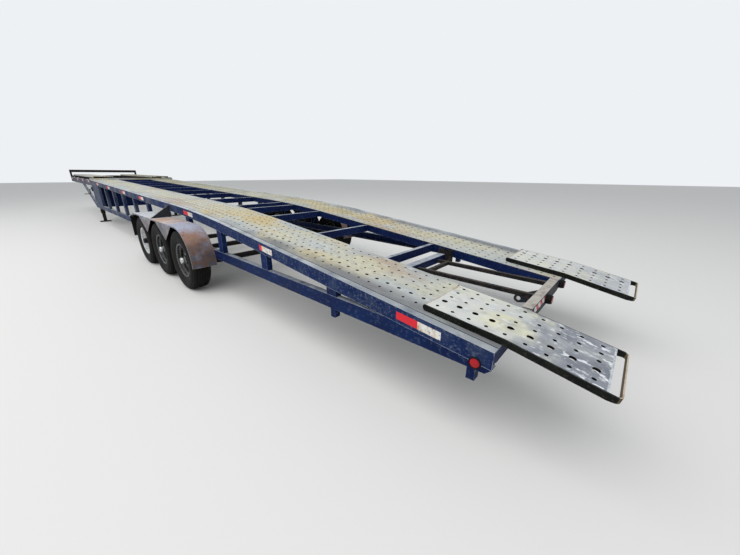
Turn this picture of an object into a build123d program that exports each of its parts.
"""Wedge car-carrier trailer: two truss side frames, open runways, a neck in front and three axles.

Millimetres. +X is the trailer's right, +Y is forward, +Z is up. The ground is at Z = 0 and the origin is on the
ground in the middle of the trailer's length and width. A station is a distance forward of the frame's rear end.
"""

from build123d import *
from math import acos, atan, atan2, cos, degrees, hypot, radians, sin, sqrt, tan
import os

# Overall
DECK_WIDTH = 2060.0  # outside to outside of the side rails
NECK_END = 16150.0  # station of the neck's front end

# Side rails, rolled channel
RAIL_DEPTH = 102.0
RAIL_FLANGE = 51.0
RAIL_WALL = 8.0
LOWER_RAIL_Z = 416.0  # underside of the level lower rail

# Deck line: a steep rear part and a shallow front part, joined by a long arc
REAR_DECK_Z = 550.0
REAR_SLOPE = 0.104
FRONT_SLOPE = 0.032
BEND_STATION = 3600.0
BEND_RADIUS = 22000.0

# Side posts and cross members
FIRST_POST = 1180.0
POST_PITCH = 930.0
POST_COUNT = 11
POST_WIDTH = 102.0
POST_DEPTH = 51.0
CROSS_DEPTH = 76.0
CROSS_FLANGE = 41.0
CROSS_WALL = 6.0
EXTRA_CROSS = 3650.0  # the second member of the doubled pair

# Runways
RUNWAY_INNER = 390.0  # half of the open centre
PLANK_WALL = 5.0
PLANK_GAP = 6.0  # slot between a plank and the side rail's flange
PLANK_COUNT = 4
SEAM_GAP = 2.0

# Bulkhead and neck
PANEL_WALL = 6.0
NECK_DEPTH = 152.0
NECK_SLOPE = 0.01
BRACE_REACH = 1800.0  # how far forward the diagonal brace meets the neck
BRACE_WIDTH = 60.0
FRONT_BEAM_WIDTH = 60.0
FRONT_BEAM_HEIGHT = 45.0
NECK_TUBE = 60.0
NECK_TUBE_COUNT = 5
NECK_TUBE_SETBACK = 239.0  # the last tube, behind the neck's front end
NECK_PLANK_WIDTH = 450.0
NECK_PLANK_HEIGHT = 38.0
HEADER_RISE = 170.0
HEADER_HEIGHT = 90.0
HEADER_WIDTH = 80.0

# Coupler
SPINE_WIDTH = 120.0
SPINE_HEIGHT = 130.0
COUPLER_SETBACK = 850.0  # behind the neck's front end
COUPLER_TUBE_R = 51.0
COUPLER_BOTTOM = 800.0
COUPLER_HEAD_R = 60.0
COUPLER_HEAD_HEIGHT = 130.0
SOCKET_R = 29.8
SOCKET_DEPTH = 60.0

# Landing gear
LEG_WIDTH = 90.0
LEG_BOTTOM = 250.0
INNER_LEG_WIDTH = 74.0
FOOT_WIDTH = 250.0
FOOT_HEIGHT = 14.0
SHAFT_R = 14.0
SHAFT_Z = 930.0
CRANK_R = 9.0
CRANK_OUT = 60.0
CRANK_DROP = 130.0
CRANK_GRIP = 140.0

# Wheels
TYRE_R = 360.0
TYRE_WIDTH = 225.0
TYRE_GAP = 37.5  # side rail to the tyre's inner face
TYRE_WALL = 14.0
RIM_R = 190.5
RIM_FLANGE_R = 207.0
RIM_WIDTH = 178.0
RIM_WALL = 6.0
DISC_WALL = 8.0
BEAD_GAP = 0.2
HUB_R = 48.0
HUB_FLANGE_R = 88.0
HUB_FLANGE_WALL = 12.0
CAP_R = 34.0
CAP_LENGTH = 102.0
AXLE_STATIONS = (3640.0, 4480.0, 5320.0)

# Axles and springs
AXLE_DROP = 70.0
AXLE_TUBE_R = 38.0
DROP_ARM_WALL = 15.0
DROP_ARM_GAP = 2.0
DROP_ARM_WIDTH = 90.0
SPINDLE_R = 22.0
BEARING_CLEARANCE = 0.05
BRAKE_R = 150.0
BRAKE_WALL = 8.0
DRUM_R = 145.0
DRUM_LENGTH = 60.0
RUNNING_GAP = 6.0
SPRING_WIDTH = 57.0
SPRING_LENGTH = 641.0
LEAF_WALL = 8.0
LEAF_COUNT = 4
EYE_R = 18.0
EYE_PIN_R = 8.0
PIN_CLEARANCE = 0.3
SPRING_SEAT = 10.0
SPRING_ARCH = 8.0
HANGER_WALL = 8.0

# Fenders
FENDER_REACH = 265.0
FENDER_WALL = 4.0
FENDER_GAP = 50.0  # tyre tread to fender
FENDER_NOSE = 230.0  # how far the flat top runs past the front hub
NOSE_LENGTH = 335.0  # the part in front of it that slants down
NOSE_SLOPE = 0.2
FENDER_TAB = 20.0
FENDER_TAIL_ANGLE = 3.0  # how far the rear end goes down past the hub's height
FENDER_LIP = 12.0
SKIRT_WIDTH = 650.0
SKIRT_DEPTH = 215.0
GUSSET_STATION = 4600.0
GUSSET_WALL = 6.0
FLAP_WALL = 8.0
FLAP_HEIGHT = 330.0
FLAP_MARGIN = 10.0

# Rear end
REAR_BEAM_WIDTH = 62.0
REAR_BEAM_HEIGHT = 100.0
REAR_BEAM_RISE = 10.0  # its top above the deck line
REAR_CHAMFER = 32.0
BRACE_BARS_X = (-118.0, 238.0)
BRACE_BAR_WIDTH = 32.0
BRACE_BAR_Z = 562.0  # top of the two bars
BRACE_HEAD_STATION = 920.0
LOW_TUBE_STATION = 1068.0
LOW_TUBE_WIDTH = 76.0
LOW_TUBE_HEIGHT = 66.0
LOW_TUBE_Z = 586.0  # its top
HANGER_PLATE_WALL = 8.0
HANGER_PLATE_LENGTH = 160.0
HANGER_PLATE_RISE = 52.0
LUG_WALL = 12.0
LUG_REACH = 122.0  # rear beam to the eye
LUG_DROP = 99.0  # beam's top to the eye
LUG_HOLE_R = 16.0
LUG_TIP_R = 34.0
STUB_WIDTH = 46.0
STUB_DROP = 68.0
STUB_STATIONS = (102.0, 1169.0)

# Ramps
RAMP_WIDTH = 450.0
RAMP_HEIGHT = 38.0
RAMP_WALL = 4.0
RAMP_FRONT = 466.0  # knee to front end, along the deck
RAMP_TAIL = 436.0  # knee to rear end
TAIL_SLOPE = 0.186
KNEE_GAP = 5.0  # knee to the deck's rear edge
RAMP_CLEARANCE = 0.4
HANDLE_CORNER_R = 18.0
HANDLE_HEIGHT = 30.0
HANDLE_GAP = 42.0
HANDLE_BAR = 8.0

# Places worked out from the sizes above
HALF_DECK = DECK_WIDTH / 2
RUNWAY_MID = (RUNWAY_INNER + HALF_DECK) / 2
REAR_ANGLE = degrees(atan(REAR_SLOPE))
TAIL_ANGLE = degrees(atan(TAIL_SLOPE))
HANDLE_REACH = RAMP_TAIL + HANDLE_GAP + HANDLE_BAR
KNEE_BACK = KNEE_GAP + RAMP_CLEARANCE * sin(radians(REAR_ANGLE))
HANDLE_BACK = HANDLE_REACH * cos(radians(TAIL_ANGLE)) + RAMP_HEIGHT * sin(radians(TAIL_ANGLE))
RAMP_OVERHANG = KNEE_BACK + HANDLE_BACK
MID_STATION = (NECK_END - RAMP_OVERHANG) / 2
BULKHEAD = FIRST_POST + POST_COUNT * POST_PITCH
FRAME_END = BULKHEAD + POST_WIDTH / 2
BEND_Z = REAR_DECK_Z + REAR_SLOPE * BEND_STATION
DECK_END_Z = BEND_Z + FRONT_SLOPE * (FRAME_END - BEND_STATION)
NECK_TOP_Z = DECK_END_Z
POST_STATIONS = [FIRST_POST + POST_PITCH * i for i in range(POST_COUNT)]
FRONT_ANGLE = degrees(atan(FRONT_SLOPE))
BEND_REACH = BEND_RADIUS * tan(radians(REAR_ANGLE - FRONT_ANGLE) / 2)
HUB_Z = TYRE_R
TYRE_INNER_X = HALF_DECK + TYRE_GAP
WHEEL_MID_X = TYRE_INNER_X + TYRE_WIDTH / 2
SIDES = (("left", -1), ("right", 1))
AXLES = tuple(zip(("rear", "middle", "front"), AXLE_STATIONS))


def y_at(station):
    """Y of a station."""
    return station - MID_STATION


def deck_z(station):
    """Height of the deck line, without the small cut that the arc takes at the bend."""
    if station < BEND_STATION - BEND_REACH:
        return REAR_DECK_Z + REAR_SLOPE * station
    if station > BEND_STATION + BEND_REACH * cos(radians(REAR_ANGLE)):
        return BEND_Z + FRONT_SLOPE * (station - BEND_STATION)
    start = BEND_STATION - BEND_REACH * cos(radians(REAR_ANGLE))
    centre_y = start + BEND_RADIUS * sin(radians(REAR_ANGLE))
    centre_z = REAR_DECK_Z + REAR_SLOPE * start - BEND_RADIUS * cos(radians(REAR_ANGLE))
    return centre_z + sqrt(BEND_RADIUS**2 - (station - centre_y) ** 2)


def neck_z(station):
    """Height of the neck rails' tops."""
    return NECK_TOP_Z + NECK_SLOPE * (station - FRAME_END)


def deck_band(x, stop, drop, depth):
    """Sketch in a side view: a band under the deck line, from the rear end to a station."""
    end_z = BEND_Z + FRONT_SLOPE * (stop - BEND_STATION)
    line = [(y_at(0), REAR_DECK_Z), (y_at(BEND_STATION), BEND_Z), (y_at(stop), end_z)]
    with BuildSketch(Plane.YZ.offset(x), mode=Mode.PRIVATE) as band:
        with BuildLine():
            top = FilletPolyline(*[(y, z - drop) for y, z in line], radius=BEND_RADIUS)
            bottom = FilletPolyline(*[(y, z - drop - depth) for y, z in line], radius=BEND_RADIUS)
            Line(top @ 0, bottom @ 0)
            Line(top @ 1, bottom @ 1)
        make_face()
    return band.sketch


def block(x_range, y_range, z_range):
    """Add a block between two corners to the part in hand."""
    (x0, x1), (y0, y1), (z0, z1) = x_range, y_range, z_range
    with Locations(((x0 + x1) / 2, (y0 + y1) / 2, (z0 + z1) / 2)):
        Box(abs(x1 - x0), y1 - y0, z1 - z0)


def cross_tube(station, z_bottom, half_length, width, height, wall):
    """Add a rectangular tube that lies across the trailer."""
    with BuildSketch(Plane.YZ.offset(-half_length), mode=Mode.PRIVATE) as section:
        with Locations((y_at(station), z_bottom + height / 2)):
            Rectangle(width, height)
            Rectangle(width - 2 * wall, height - 2 * wall, mode=Mode.SUBTRACT)
    extrude(section.sketch, amount=2 * half_length)


def finish(builder, label):
    """Name a finished piece and write it."""
    builder.part.label = label
    export_step(builder.part, f"parts/{label}.step")
    print(label, "solids", len(builder.part.solids()), "volume", round(builder.part.volume / 1e6, 2))


os.makedirs("parts", exist_ok=True)

# Upper side rails: channels that open inward and follow the deck line
for side, s in SIDES:
    with BuildPart() as upper_rail:
        for drop, depth, reach in (
            (0.0, RAIL_DEPTH, RAIL_WALL),
            (0.0, RAIL_WALL, RAIL_FLANGE),
            (RAIL_DEPTH - RAIL_WALL, RAIL_WALL, RAIL_FLANGE),
        ):
            extrude(deck_band(s * HALF_DECK, FRAME_END, drop, depth), amount=-s * reach)
    finish(upper_rail, f"upper_rail_{side}")

# Lower side rails: level channels, coped at the rear where the upper rail comes down on them
LOWER_TOP = LOWER_RAIL_Z + RAIL_DEPTH
MEET_STATION = (LOWER_TOP - (REAR_DECK_Z - RAIL_DEPTH)) / REAR_SLOPE
MEET_REAR_Z = REAR_DECK_Z - RAIL_DEPTH
for side, s in SIDES:
    with BuildPart() as lower_rail:
        with BuildSketch(Plane.YZ.offset(s * HALF_DECK)):
            with BuildLine():
                Polyline(
                    (y_at(REAR_CHAMFER), LOWER_RAIL_Z),
                    (y_at(FRAME_END), LOWER_RAIL_Z),
                    (y_at(FRAME_END), LOWER_TOP),
                    (y_at(MEET_STATION), LOWER_TOP),
                    (y_at(0), MEET_REAR_Z),
                    (y_at(0), MEET_REAR_Z - 1.0),
                    close=True,
                )
            make_face()
        extrude(amount=-s * RAIL_WALL)
        flange_x = (s * HALF_DECK, s * (HALF_DECK - RAIL_FLANGE))
        block(flange_x, (y_at(REAR_CHAMFER), y_at(FRAME_END)), (LOWER_RAIL_Z, LOWER_RAIL_Z + RAIL_WALL))
        block(flange_x, (y_at(MEET_STATION), y_at(FRAME_END)), (LOWER_TOP - RAIL_WALL, LOWER_TOP))
        for station in STUB_STATIONS:
            stub_y = (y_at(station - STUB_WIDTH / 2), y_at(station + STUB_WIDTH / 2))
            block(flange_x, stub_y, (LOWER_RAIL_Z - STUB_DROP, LOWER_RAIL_Z))
    finish(lower_rail, f"lower_rail_{side}")

# Side posts: channels between the rails, their webs flush with the rails' outer faces
for side, s in SIDES:
    with BuildPart() as side_posts:
        for station in POST_STATIONS:
            with BuildSketch(Plane.XY.offset(LOWER_TOP)):
                with Locations((s * (HALF_DECK - POST_DEPTH / 2), y_at(station))):
                    Rectangle(POST_DEPTH, POST_WIDTH)
                with Locations((s * (HALF_DECK - RAIL_WALL - POST_DEPTH / 2), y_at(station))):
                    Rectangle(POST_DEPTH, POST_WIDTH - 2 * RAIL_WALL, mode=Mode.SUBTRACT)
            extrude(amount=deck_z(station + POST_WIDTH / 2) - LOWER_TOP)
        above = deck_band(s * HALF_DECK, FRAME_END, -POST_WIDTH, RAIL_DEPTH + POST_WIDTH)
        extrude(above, amount=-s * POST_DEPTH, mode=Mode.SUBTRACT)
    finish(side_posts, f"side_posts_{side}")

# Bulkheads: a plate that closes the last bay, a box post and the diagonal brace up to the neck
NECK_UNDER_Z = NECK_TOP_Z - NECK_DEPTH
BRACE_STATION = FRAME_END + BRACE_REACH
BRACE_TOP_Z = NECK_UNDER_Z + NECK_SLOPE * BRACE_REACH
PANEL_START = POST_STATIONS[-1] + POST_WIDTH / 2
for side, s in SIDES:
    with BuildPart() as bulkhead:
        post_x = (s * HALF_DECK, s * (HALF_DECK - POST_DEPTH))
        block(post_x, (y_at(BULKHEAD - POST_WIDTH / 2), y_at(FRAME_END)), (LOWER_TOP, DECK_END_Z))
        block(
            (s * HALF_DECK, s * (HALF_DECK - PANEL_WALL)),
            (y_at(PANEL_START), y_at(BULKHEAD)),
            (LOWER_TOP, DECK_END_Z),
        )
        above = deck_band(s * HALF_DECK, FRAME_END, -POST_WIDTH, RAIL_DEPTH + POST_WIDTH)
        extrude(above, amount=-s * POST_DEPTH, mode=Mode.SUBTRACT)
        with BuildSketch(Plane.YZ.offset(s * HALF_DECK)):
            with BuildLine():
                Polyline(
                    (y_at(FRAME_END), LOWER_RAIL_Z),
                    (y_at(FRAME_END) + BRACE_WIDTH, LOWER_RAIL_Z),
                    (y_at(BRACE_STATION) + BRACE_WIDTH, BRACE_TOP_Z + NECK_SLOPE * BRACE_WIDTH),
                    (y_at(BRACE_STATION) - BRACE_WIDTH, BRACE_TOP_Z - NECK_SLOPE * BRACE_WIDTH),
                    (y_at(FRAME_END), LOWER_RAIL_Z + 2 * BRACE_WIDTH),
                    close=True,
                )
            make_face()
        extrude(amount=-s * POST_DEPTH)
    finish(bulkhead, f"bulkhead_{side}")

# Closing plate across the frame's front end, between the box posts and under the last cross member
with BuildPart() as closing_plate:
    post_inner = HALF_DECK - POST_DEPTH
    plate_top = deck_z(BULKHEAD) - PLANK_WALL - CROSS_DEPTH
    block(
        (-post_inner, post_inner),
        (y_at(BULKHEAD), y_at(BULKHEAD + PANEL_WALL)),
        (LOWER_RAIL_Z, plate_top),
    )
finish(closing_plate, "closing_plate")

# Inner rails: a channel under each runway's inner edge, with coped outriggers to the side rail
CROSS_STATIONS = sorted(POST_STATIONS + [EXTRA_CROSS, BULKHEAD])
FLANGE_TOE = HALF_DECK - RAIL_FLANGE
for side, s in SIDES:
    with BuildPart() as inner_rail:
        for drop, depth, reach in (
            (PLANK_WALL, CROSS_DEPTH, CROSS_WALL),
            (PLANK_WALL, CROSS_WALL, CROSS_FLANGE),
            (PLANK_WALL + CROSS_DEPTH - CROSS_WALL, CROSS_WALL, CROSS_FLANGE),
        ):
            extrude(deck_band(s * RUNWAY_INNER, FRAME_END, drop, depth), amount=s * reach)
        for station in [0.0] + CROSS_STATIONS:
            for x_end, x_start, drop, height, width in (
                (FLANGE_TOE, RUNWAY_INNER + CROSS_WALL, PLANK_WALL, CROSS_DEPTH, CROSS_WALL),
                (FLANGE_TOE, RUNWAY_INNER + CROSS_WALL, PLANK_WALL, CROSS_WALL, CROSS_FLANGE),
                (
                    FLANGE_TOE,
                    RUNWAY_INNER + CROSS_WALL,
                    PLANK_WALL + CROSS_DEPTH - CROSS_WALL,
                    CROSS_WALL,
                    CROSS_FLANGE,
                ),
                (HALF_DECK - RAIL_WALL, FLANGE_TOE, RAIL_WALL, CROSS_DEPTH - RAIL_WALL, CROSS_WALL),
            ):
                top = deck_z(station) - drop
                block((s * x_end, s * x_start), (y_at(station), y_at(station + width)), (top - height, top))
    finish(inner_rail, f"inner_rail_{side}")

# Cross members of the open centre: channels between the inner rails
with BuildPart() as cross_members:
    for station in CROSS_STATIONS:
        top = deck_z(station) - PLANK_WALL
        for z_top, height, width in (
            (0.0, CROSS_DEPTH, CROSS_WALL),
            (0.0, CROSS_WALL, CROSS_FLANGE),
            (CROSS_WALL - CROSS_DEPTH, CROSS_WALL, CROSS_FLANGE),
        ):
            block(
                (-RUNWAY_INNER, RUNWAY_INNER),
                (y_at(station), y_at(station + width)),
                (top + z_top - height, top + z_top),
            )
    cross_tube(
        LOW_TUBE_STATION,
        LOW_TUBE_Z - LOW_TUBE_HEIGHT,
        RUNWAY_INNER - HANGER_PLATE_WALL,
        LOW_TUBE_WIDTH,
        LOW_TUBE_HEIGHT,
        CROSS_WALL,
    )
finish(cross_members, "cross_members")

# Runways: four planks of sheet end to end each side, between the side rail's flange and the inner rail
PLANK_LENGTH = FRAME_END / PLANK_COUNT
for side, s in SIDES:
    with BuildPart() as runway:
        outer = HALF_DECK - RAIL_FLANGE - PLANK_GAP
        extrude(deck_band(s * RUNWAY_INNER, FRAME_END, 0.0, PLANK_WALL), amount=s * (outer - RUNWAY_INNER))
        for i in range(1, PLANK_COUNT):
            with Locations((s * RUNWAY_MID, y_at(PLANK_LENGTH * i), deck_z(PLANK_LENGTH * i))):
                Box(HALF_DECK, SEAM_GAP, RAIL_DEPTH, mode=Mode.SUBTRACT)
    finish(runway, f"runway_{side}")

# Light beam across the end of the runways
FRONT_BEAM_Z = neck_z(FRAME_END + FRONT_BEAM_WIDTH)
with BuildPart() as front_beam:
    block(
        (-HALF_DECK, HALF_DECK),
        (y_at(FRAME_END), y_at(FRAME_END + FRONT_BEAM_WIDTH)),
        (FRONT_BEAM_Z, FRONT_BEAM_Z + FRONT_BEAM_HEIGHT),
    )
finish(front_beam, "front_beam")

# Neck rails: deep channels that open inward and rise a little to the front


def neck_band(x, start, z_start, depth):
    """Sketch in a side view: a band that runs along the neck, its top at a height at the frame's end."""
    rear, front = y_at(start), y_at(NECK_END)
    rear_z = z_start + NECK_SLOPE * (start - FRAME_END)
    front_z = z_start + NECK_SLOPE * (NECK_END - FRAME_END)
    with BuildSketch(Plane.YZ.offset(x), mode=Mode.PRIVATE) as band:
        with BuildLine():
            Polyline(
                (rear, rear_z), (front, front_z), (front, front_z - depth), (rear, rear_z - depth), close=True
            )
        make_face()
    return band.sketch


for side, s in SIDES:
    with BuildPart() as neck_rail:
        for drop, depth, reach in (
            (0.0, NECK_DEPTH, RAIL_WALL),
            (0.0, RAIL_WALL, RAIL_FLANGE),
            (NECK_DEPTH - RAIL_WALL, RAIL_WALL, RAIL_FLANGE),
        ):
            band = neck_band(s * HALF_DECK, FRAME_END, NECK_TOP_Z - drop, depth)
            extrude(band, amount=-s * reach)
    finish(neck_rail, f"neck_rail_{side}")

# Neck cross members: tubes laid across the neck rails, and the spine that carries the coupler
FIRST_TUBE = FRAME_END + FRONT_BEAM_WIDTH + NECK_TUBE / 2
NECK_TUBE_PITCH = (NECK_END - NECK_TUBE_SETBACK - FIRST_TUBE) / (NECK_TUBE_COUNT - 1)
TUBE_STATIONS = [FIRST_TUBE + NECK_TUBE_PITCH * i for i in range(NECK_TUBE_COUNT)]
COUPLER_STATION = NECK_END - COUPLER_SETBACK

with BuildPart() as neck_cross_members:
    for station in TUBE_STATIONS:
        cross_tube(station, neck_z(station + NECK_TUBE / 2), HALF_DECK, NECK_TUBE, NECK_TUBE, CROSS_WALL)
    spine_z = neck_z(COUPLER_STATION + SPINE_WIDTH / 2) - NECK_DEPTH + RAIL_WALL
    cross_tube(COUPLER_STATION, spine_z, HALF_DECK - RAIL_WALL, SPINE_WIDTH, SPINE_HEIGHT, RAIL_WALL)
finish(neck_cross_members, "neck_cross_members")

# Neck planks: two folded planks with side flanges that carry the runways on over the neck
NECK_PLANK_START = FRAME_END + FRONT_BEAM_WIDTH
with BuildPart() as neck_planks:
    for side, s in SIDES:
        for z_low, height, inset in (
            (NECK_TUBE + NECK_PLANK_HEIGHT - PLANK_WALL, PLANK_WALL, 0.0),
            (NECK_TUBE, NECK_PLANK_HEIGHT, 0.0),
            (NECK_TUBE, NECK_PLANK_HEIGHT, NECK_PLANK_WIDTH - PLANK_WALL),
        ):
            width = NECK_PLANK_WIDTH if height == PLANK_WALL else PLANK_WALL
            x = s * (RUNWAY_MID - NECK_PLANK_WIDTH / 2 + inset)
            top = NECK_TOP_Z + NECK_SLOPE * NECK_TUBE + z_low + height
            extrude(neck_band(x, NECK_PLANK_START, top, height), amount=s * width)
finish(neck_planks, "neck_planks")

# Front header: a tube across the neck's tip on two short uprights
HEADER_STATION = NECK_END - HEADER_WIDTH / 2
with BuildPart() as front_header:
    header_foot = neck_z(HEADER_STATION + HEADER_WIDTH / 2)
    cross_tube(HEADER_STATION, header_foot + HEADER_RISE, HALF_DECK, HEADER_WIDTH, HEADER_HEIGHT, CROSS_WALL)
    for side, s in SIDES:
        block(
            (s * HALF_DECK, s * (HALF_DECK - RAIL_FLANGE)),
            (y_at(HEADER_STATION) - HEADER_WIDTH / 2, y_at(HEADER_STATION) + HEADER_WIDTH / 2),
            (header_foot, header_foot + HEADER_RISE),
        )
finish(front_header, "front_header")

# Coupler: a round tube under the spine with two gussets and a socket for the hitch ball
with BuildPart() as coupler:
    y_mid = y_at(COUPLER_STATION)
    with BuildSketch(Plane.XY.offset(COUPLER_BOTTOM)):
        with Locations((0, y_mid)):
            Circle(COUPLER_HEAD_R)
    extrude(amount=COUPLER_HEAD_HEIGHT)
    with BuildSketch(Plane.XY.offset(COUPLER_BOTTOM + COUPLER_HEAD_HEIGHT)):
        with Locations((0, y_mid)):
            Circle(COUPLER_TUBE_R)
    extrude(amount=spine_z - COUPLER_BOTTOM - COUPLER_HEAD_HEIGHT)
    with BuildSketch(Plane.XY.offset(COUPLER_BOTTOM)):
        with Locations((0, y_mid)):
            Circle(SOCKET_R)
    extrude(amount=SOCKET_DEPTH, mode=Mode.SUBTRACT)
finish(coupler, "coupler")

# Landing legs: a square outer tube, an inner tube and a flat foot
LEG_X = HALF_DECK - POST_DEPTH - LEG_WIDTH / 2
LEG_STATION = FRAME_END + LEG_WIDTH / 2
for side, s in SIDES:
    with BuildPart() as landing_leg:
        for z_low, z_high, width in (
            (0.0, FOOT_HEIGHT, FOOT_WIDTH),
            (FOOT_HEIGHT, LEG_BOTTOM, INNER_LEG_WIDTH),
            (LEG_BOTTOM, FRONT_BEAM_Z, LEG_WIDTH),
        ):
            with BuildSketch(Plane.XY.offset(z_low)):
                with Locations((s * LEG_X, y_at(LEG_STATION))):
                    Rectangle(width, width)
            extrude(amount=z_high - z_low)
    finish(landing_leg, f"landing_leg_{side}")

# Cross shaft between the legs, and the bent hand crank on the left
with BuildPart() as landing_crank:
    shaft_half = LEG_X - LEG_WIDTH / 2
    with BuildSketch(Plane.YZ.offset(-shaft_half)):
        with Locations((y_at(LEG_STATION), SHAFT_Z)):
            Circle(SHAFT_R)
    extrude(amount=2 * shaft_half)
    crank_start = LEG_X + LEG_WIDTH / 2
    crank_elbow = HALF_DECK + CRANK_OUT
    with BuildSketch(Plane.YZ.offset(-crank_start)):
        with Locations((y_at(LEG_STATION), SHAFT_Z)):
            Circle(CRANK_R)
    with BuildLine() as crank_line:
        FilletPolyline(
            (-crank_start, y_at(LEG_STATION), SHAFT_Z),
            (-crank_elbow, y_at(LEG_STATION), SHAFT_Z),
            (-crank_elbow, y_at(LEG_STATION), SHAFT_Z - CRANK_DROP),
            (-crank_elbow - CRANK_GRIP, y_at(LEG_STATION), SHAFT_Z - CRANK_DROP),
            radius=2.5 * CRANK_R,
        )
    sweep(path=crank_line.wires()[0])
finish(landing_crank, "landing_crank")


def axle_plane(side_sign, station, x):
    """Plane through a hub's axis: its own x points outward along the axis and its y points up."""
    return Plane(origin=(side_sign * x, y_at(station), HUB_Z), x_dir=(side_sign, 0, 0), z_dir=(0, -side_sign, 0))


# Axles: a dropped tube with an arm, a brake plate and a spindle at each end, and a seat for each spring
SPRING_X = HALF_DECK - HANGER_WALL - PIN_CLEARANCE - SPRING_WIDTH / 2
ARM_X = HALF_DECK + DROP_ARM_GAP
BRAKE_X = ARM_X + DROP_ARM_WALL
DRUM_X = BRAKE_X + BRAKE_WALL + RUNNING_GAP
DISC_X = WHEEL_MID_X
SPINDLE_END = DISC_X + HUB_FLANGE_WALL
TUBE_Z = HUB_Z - AXLE_DROP
SEAT_TOP = TUBE_Z + AXLE_TUBE_R + SPRING_SEAT
for name, station in AXLES:
    with BuildPart() as axle:
        with BuildSketch(Plane.YZ.offset(-BRAKE_X)):
            with Locations((y_at(station), TUBE_Z)):
                Circle(AXLE_TUBE_R)
        extrude(amount=2 * BRAKE_X)
        for side, s in SIDES:
            with BuildSketch(Plane.YZ.offset(s * ARM_X)):
                with Locations((y_at(station), (TUBE_Z + HUB_Z) / 2)):
                    SlotCenterToCenter(AXLE_DROP, DROP_ARM_WIDTH, rotation=90)
            extrude(amount=s * DROP_ARM_WALL)
            for x, radius, length in (
                (BRAKE_X, BRAKE_R, BRAKE_WALL),
                (BRAKE_X, SPINDLE_R, SPINDLE_END - BRAKE_X),
            ):
                with BuildSketch(Plane.YZ.offset(s * x)):
                    with Locations((y_at(station), HUB_Z)):
                        Circle(radius)
                extrude(amount=s * length)
            block(
                (s * (SPRING_X - SPRING_WIDTH / 2), s * (SPRING_X + SPRING_WIDTH / 2)),
                (y_at(station) - DROP_ARM_WIDTH / 2, y_at(station) + DROP_ARM_WIDTH / 2),
                (TUBE_Z, SEAT_TOP),
            )
    finish(axle, f"axle_{name}")

# Springs: arched leaf packs with rolled eyes, on hangers and double hangers under the lower rail
SPRING_HALF = SPRING_LENGTH / 2
SPRING_TOP = SEAT_TOP + LEAF_COUNT * LEAF_WALL
SPRING_R = SPRING_HALF**2 / (2 * SPRING_ARCH)
EYE_Z = SPRING_TOP - LEAF_WALL + SPRING_ARCH + EYE_R
SHACKLE_REACH = (AXLE_STATIONS[1] - AXLE_STATIONS[0] - SPRING_LENGTH) / 2
HANGER_INNER_X = HALF_DECK - 2 * HANGER_WALL - 2 * PIN_CLEARANCE - SPRING_WIDTH
HANGERS = (
    (AXLE_STATIONS[0] - SPRING_HALF, (0.0,)),
    ((AXLE_STATIONS[0] + AXLE_STATIONS[1]) / 2, (-SHACKLE_REACH, SHACKLE_REACH)),
    ((AXLE_STATIONS[1] + AXLE_STATIONS[2]) / 2, (-SHACKLE_REACH, SHACKLE_REACH)),
    (AXLE_STATIONS[2] + SPRING_HALF, (0.0,)),
)
for side, s in SIDES:
    with BuildPart() as suspension:
        for name, station in AXLES:
            with BuildSketch(Plane.YZ.offset(s * (SPRING_X - SPRING_WIDTH / 2))):
                for leaf in range(LEAF_COUNT):
                    angle = degrees(SPRING_HALF * (1.0 - 0.8 * leaf / LEAF_COUNT) / SPRING_R)
                    centre = (y_at(station), SPRING_TOP + SPRING_R)
                    with BuildLine():
                        upper = CenterArc(centre, SPRING_R + leaf * LEAF_WALL, -90 - angle, 2 * angle)
                        lower = CenterArc(centre, SPRING_R + (leaf + 1) * LEAF_WALL, -90 - angle, 2 * angle)
                        Line(upper @ 0, lower @ 0)
                        Line(upper @ 1, lower @ 1)
                    make_face()
                with Locations(*[(y_at(station) + end * SPRING_HALF, EYE_Z) for end in (-1, 1)]):
                    Circle(EYE_R)
                    Circle(EYE_PIN_R + PIN_CLEARANCE, mode=Mode.SUBTRACT)
            extrude(amount=s * SPRING_WIDTH)
        for station, pins in HANGERS:
            y = y_at(station)
            for x in (HANGER_INNER_X, HALF_DECK - HANGER_WALL):
                with BuildSketch(Plane.YZ.offset(s * x)):
                    with Locations((y, EYE_Z)):
                        Rectangle(max(pins) - min(pins) + 0.1, 2 * EYE_R)
                    with Locations(*[(y + pin, EYE_Z) for pin in pins]):
                        Circle(EYE_R)
                    with Locations((y, (EYE_Z + LOWER_RAIL_Z) / 2)):
                        Rectangle(2 * EYE_R, LOWER_RAIL_Z - EYE_Z)
                extrude(amount=s * HANGER_WALL)
            block(
                (s * HANGER_INNER_X, s * HALF_DECK),
                (y - EYE_R, y + EYE_R),
                (LOWER_RAIL_Z - HANGER_WALL, LOWER_RAIL_Z),
            )
            with BuildSketch(Plane.YZ.offset(s * HANGER_INNER_X)):
                with Locations(*[(y + pin, EYE_Z) for pin in pins]):
                    Circle(EYE_PIN_R)
            extrude(amount=s * (HALF_DECK - HANGER_INNER_X))
    finish(suspension, f"suspension_{side}")

# Fenders: one bent sheet over the three wheels, with a lip, V skirts between the wheels and a gusset to the rail
FENDER_X = HALF_DECK + FENDER_REACH
FENDER_UNDER_Z = HUB_Z + TYRE_R + FENDER_GAP
NOSE_Y = y_at(AXLE_STATIONS[2] + FENDER_NOSE)
TIP_Y = NOSE_Y + NOSE_LENGTH
TIP_Z = FENDER_UNDER_Z - NOSE_SLOPE * NOSE_LENGTH


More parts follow.
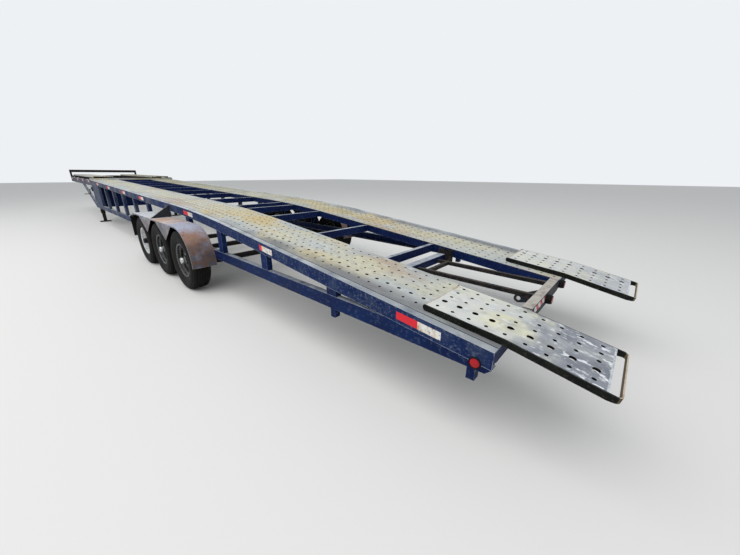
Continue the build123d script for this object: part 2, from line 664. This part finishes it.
def fender_band(x, gap, wall):
    """Sketch in a side view: the fender's line round the rear wheel, over the others and down at the nose."""
    ends = []
    with BuildSketch(Plane.YZ.offset(x), mode=Mode.PRIVATE) as band:
        with BuildLine():
            for reach in (gap, gap + wall):
                outward = reach - FENDER_GAP
                top_z = FENDER_UNDER_Z + outward
                tail = CenterArc((y_at(AXLE_STATIONS[0]), HUB_Z), TYRE_R + reach, 90, 90 + FENDER_TAIL_ANGLE)
                front = Polyline(
                    tail @ 0,
                    (NOSE_Y, top_z),
                    (TIP_Y + outward, top_z - NOSE_SLOPE * (NOSE_LENGTH + outward)),
                    (TIP_Y + outward, TIP_Z - FENDER_TAB),
                )
                ends.append((tail @ 1, front @ 1))
            Line(ends[0][0], ends[1][0])
            Line(ends[0][1], ends[1][1])
        make_face()
    return band.sketch


for side, s in SIDES:
    with BuildPart() as fender:
        extrude(fender_band(s * HALF_DECK, FENDER_GAP, FENDER_WALL), amount=s * FENDER_REACH)
        lip = fender_band(s * FENDER_X, FENDER_GAP - FENDER_LIP, FENDER_LIP)
        extrude(lip, amount=-s * FENDER_WALL)
        with BuildSketch(Plane.YZ.offset(s * FENDER_X)):
            for rear, front in zip(AXLE_STATIONS[:-1], AXLE_STATIONS[1:]):
                skirt_y = y_at((rear + front) / 2)
                with BuildLine():
                    Polyline(
                        (skirt_y - SKIRT_WIDTH / 2, FENDER_UNDER_Z),
                        (skirt_y, FENDER_UNDER_Z - SKIRT_DEPTH),
                        (skirt_y + SKIRT_WIDTH / 2, FENDER_UNDER_Z),
                        close=True,
                    )
                make_face()
        extrude(amount=-s * FENDER_WALL)
        with BuildSketch(Plane.XZ.offset(-y_at(GUSSET_STATION))):
            with BuildLine():
                Polyline(
                    (s * HALF_DECK, FENDER_UNDER_Z + FENDER_WALL),
                    (s * (FENDER_X - FENDER_WALL), FENDER_UNDER_Z + FENDER_WALL),
                    (s * HALF_DECK, deck_z(GUSSET_STATION) - RAIL_WALL),
                    close=True,
                )
            make_face()
        extrude(amount=GUSSET_WALL)
    finish(fender, f"fender_{side}")

# Mud flaps: sheets that hang behind the tabs of the fenders' tips
for side, s in SIDES:
    with BuildPart() as mud_flap:
        block(
            (s * (HALF_DECK + FLAP_MARGIN), s * (FENDER_X - FLAP_MARGIN)),
            (TIP_Y - FLAP_WALL, TIP_Y),
            (TIP_Z - FLAP_HEIGHT, TIP_Z),
        )
    finish(mud_flap, f"mud_flap_{side}")

# Rear beam between the runways, with a lug for a hook in front of it
REAR_BEAM_TOP = REAR_DECK_Z + REAR_BEAM_RISE


def tangent_point(corner, centre, radius, turn):
    """Point where a line from a corner touches a circle, on the side that turn (1 or -1) picks."""
    away_y, away_z = corner[0] - centre[0], corner[1] - centre[1]
    angle = atan2(away_z, away_y) + turn * acos(radius / hypot(away_y, away_z))
    return (centre[0] + radius * cos(angle), centre[1] + radius * sin(angle))


with BuildPart() as rear_beam:
    cross_tube(
        REAR_BEAM_WIDTH / 2,
        REAR_BEAM_TOP - REAR_BEAM_HEIGHT,
        RUNWAY_INNER,
        REAR_BEAM_WIDTH,
        REAR_BEAM_HEIGHT,
        CROSS_WALL,
    )
    eye = (y_at(REAR_BEAM_WIDTH) + LUG_REACH, REAR_BEAM_TOP - LUG_DROP)
    lug_top = (y_at(REAR_BEAM_WIDTH), REAR_BEAM_TOP)
    lug_foot = (y_at(REAR_BEAM_WIDTH), REAR_BEAM_TOP - REAR_BEAM_HEIGHT)
    with BuildSketch(Plane.YZ.offset(-LUG_WALL / 2)):
        with BuildLine():
            Polyline(
                lug_top,
                tangent_point(lug_top, eye, LUG_TIP_R, -1),
                tangent_point(lug_foot, eye, LUG_TIP_R, 1),
                lug_foot,
                close=True,
            )
        make_face()
        with Locations(eye):
            Circle(LUG_TIP_R)
            Circle(LUG_HOLE_R, mode=Mode.SUBTRACT)
    extrude(amount=LUG_WALL)
finish(rear_beam, "rear_beam")

# Rear braces: two bars from the low tube back to the rear beam, their head bar, and the low tube's hanger plates
LOW_TUBE_BACK = LOW_TUBE_STATION - LOW_TUBE_WIDTH / 2
PLATE_FRONT = LOW_TUBE_STATION + LOW_TUBE_WIDTH / 2
with BuildPart() as rear_braces:
    bar_z = (BRACE_BAR_Z - BRACE_BAR_WIDTH, BRACE_BAR_Z)
    for bar_x in BRACE_BARS_X:
        block(
            (bar_x - BRACE_BAR_WIDTH / 2, bar_x + BRACE_BAR_WIDTH / 2),
            (y_at(REAR_BEAM_WIDTH), y_at(LOW_TUBE_BACK)),
            bar_z,
        )
    block(
        BRACE_BARS_X,
        (y_at(BRACE_HEAD_STATION - BRACE_BAR_WIDTH / 2), y_at(BRACE_HEAD_STATION + BRACE_BAR_WIDTH / 2)),
        bar_z,
    )
    for side, s in SIDES:
        block(
            (s * RUNWAY_INNER, s * (RUNWAY_INNER - HANGER_PLATE_WALL)),
            (y_at(PLATE_FRONT - HANGER_PLATE_LENGTH), y_at(PLATE_FRONT)),
            (LOW_TUBE_Z - LOW_TUBE_HEIGHT, LOW_TUBE_Z + HANGER_PLATE_RISE),
        )
finish(rear_braces, "rear_braces")

# Ramps: planks with side flanges that lie on the runways as far as a knee just past the deck's rear edge, and
# then drop more steeply to a pull handle
KNEE_Y = y_at(0) - KNEE_BACK
KNEE_Z = REAR_DECK_Z - KNEE_GAP * REAR_SLOPE + RAMP_CLEARANCE * cos(radians(REAR_ANGLE))
KNEE_ANGLE = (REAR_ANGLE + TAIL_ANGLE) / 2


def ramp_point(along, height):
    """Point in a side view: a distance forward of the knee along the ramp's underside, and a height above it."""
    angle = radians(REAR_ANGLE if along > 0 else TAIL_ANGLE)
    return (
        KNEE_Y + along * cos(angle) - height * sin(angle),
        KNEE_Z + along * sin(angle) + height * cos(angle),
    )


def ramp_strip(x, width, front, rear, low, high):
    """Add a strip of the ramp from one distance along it to another, bent where it passes the knee."""
    knee = []
    if front > 0 > rear:
        angle = radians(KNEE_ANGLE)
        reach = cos(radians(TAIL_ANGLE - REAR_ANGLE) / 2)
        knee = [(KNEE_Y - h * sin(angle) / reach, KNEE_Z + h * cos(angle) / reach) for h in (low, high)]
    with BuildSketch(Plane.YZ.offset(x), mode=Mode.PRIVATE) as strip:
        with BuildLine():
            Polyline(
                ramp_point(front, low),
                *knee[:1],
                ramp_point(rear, low),
                ramp_point(rear, high),
                *knee[1:],
                ramp_point(front, high),
                close=True,
            )
        make_face()
    extrude(strip.sketch, amount=width)


for side, s in SIDES:
    tail_plane = Plane(
        origin=(s * RUNWAY_MID, KNEE_Y, KNEE_Z),
        x_dir=(1, 0, 0),
        z_dir=(0, -sin(radians(TAIL_ANGLE)), cos(radians(TAIL_ANGLE))),
    )
    ramp_left_x = s * RUNWAY_MID - RAMP_WIDTH / 2
    with BuildPart() as ramp:
        for x_in, width, front, rear, low in (
            (0.0, RAMP_WIDTH, RAMP_FRONT, -RAMP_TAIL, RAMP_HEIGHT - RAMP_WALL),
            (0.0, RAMP_WALL, RAMP_FRONT, -RAMP_TAIL, 0.0),
            (RAMP_WIDTH - RAMP_WALL, RAMP_WALL, RAMP_FRONT, -RAMP_TAIL, 0.0),
            (0.0, RAMP_WIDTH, RAMP_FRONT, RAMP_FRONT - RAMP_WALL, 0.0),
            (0.0, RAMP_WIDTH, RAMP_WALL - RAMP_TAIL, -RAMP_TAIL, 0.0),
        ):
            ramp_strip(ramp_left_x + x_in, width, front, rear, low, RAMP_HEIGHT)
        with BuildSketch(tail_plane.offset(RAMP_HEIGHT - HANDLE_HEIGHT)):
            with Locations((0, -RAMP_TAIL)):
                RectangleRounded(RAMP_WIDTH, 2 * (HANDLE_GAP + HANDLE_BAR), HANDLE_CORNER_R)
                RectangleRounded(
                    RAMP_WIDTH - 2 * HANDLE_BAR, 2 * HANDLE_GAP, HANDLE_CORNER_R - HANDLE_BAR, mode=Mode.SUBTRACT
                )
            with Locations((0, -RAMP_TAIL / 2)):
                Rectangle(2 * RAMP_WIDTH, RAMP_TAIL, mode=Mode.SUBTRACT)
        extrude(amount=HANDLE_HEIGHT)
    finish(ramp, f"ramp_{side}")

# Wheels: tyres and, each on its spindle, rims with hub, brake drum and cap
TYRE_HALF = TYRE_WIDTH / 2
RIM_HALF = RIM_WIDTH / 2
BEAD_X = RIM_HALF - RIM_WALL - BEAD_GAP
BEAD_Z = RIM_R + BEAD_GAP
TYRE_OUTLINE = (
    (BEAD_X, BEAD_Z),
    (BEAD_X, RIM_FLANGE_R + 4.0),
    (TYRE_HALF, 0.5 * (RIM_R + TYRE_R)),
    (TYRE_HALF - 3.0, TYRE_R - 40.0),
    (TYRE_HALF - 22.0, TYRE_R),
)
TYRE_INSIDE = (
    (BEAD_X - TYRE_WALL, BEAD_Z),
    (TYRE_HALF - TYRE_WALL, 0.5 * (RIM_R + TYRE_R)),
    (TYRE_HALF - TYRE_WALL - 12.0, TYRE_R - TYRE_WALL),
)
for name, station in AXLES:
    for side, s in SIDES:
        hub_axis = Axis((s * WHEEL_MID_X, y_at(station), HUB_Z), (s, 0, 0))
        with BuildPart() as tyre:
            with BuildSketch(axle_plane(s, station, WHEEL_MID_X)):
                for points, mode in ((TYRE_OUTLINE, Mode.ADD), (TYRE_INSIDE, Mode.SUBTRACT)):
                    with BuildLine():
                        Polyline(*points, *[(-x, z) for x, z in reversed(points)], close=True)
                    make_face(mode=mode)
            revolve(axis=hub_axis)
        finish(tyre, f"tyre_{name}_{side}")

        with BuildPart() as rim:
            with BuildSketch(axle_plane(s, station, 0.0)):
                for x_start, length, inner_r, outer_r in (
                    (WHEEL_MID_X - RIM_HALF, RIM_WIDTH, RIM_R - RIM_WALL, RIM_R),
                    (WHEEL_MID_X - RIM_HALF, RIM_WALL, RIM_R - RIM_WALL, RIM_FLANGE_R),
                    (WHEEL_MID_X + RIM_HALF - RIM_WALL, RIM_WALL, RIM_R - RIM_WALL, RIM_FLANGE_R),
                    (DISC_X, DISC_WALL, 0.0, RIM_R),
                    (DISC_X - HUB_FLANGE_WALL, HUB_FLANGE_WALL, 0.0, HUB_FLANGE_R),
                    (DRUM_X, DISC_X - DRUM_X, 0.0, HUB_R),
                    (DRUM_X, DRUM_LENGTH, DRUM_R - RIM_WALL, DRUM_R),
                    (DRUM_X + DRUM_LENGTH - RIM_WALL, RIM_WALL, 0.0, DRUM_R),
                    (DISC_X + DISC_WALL, CAP_LENGTH, 0.0, CAP_R),
                ):
                    with Locations((x_start + length / 2, (inner_r + outer_r) / 2)):
                        Rectangle(length, outer_r - inner_r)
                bore_length = SPINDLE_END + DROP_ARM_GAP - DRUM_X
                with Locations((DRUM_X + bore_length / 2, (SPINDLE_R + BEARING_CLEARANCE) / 2)):
                    Rectangle(bore_length, SPINDLE_R + BEARING_CLEARANCE, mode=Mode.SUBTRACT)
            revolve(axis=hub_axis)
        finish(rim, f"rim_{name}_{side}")
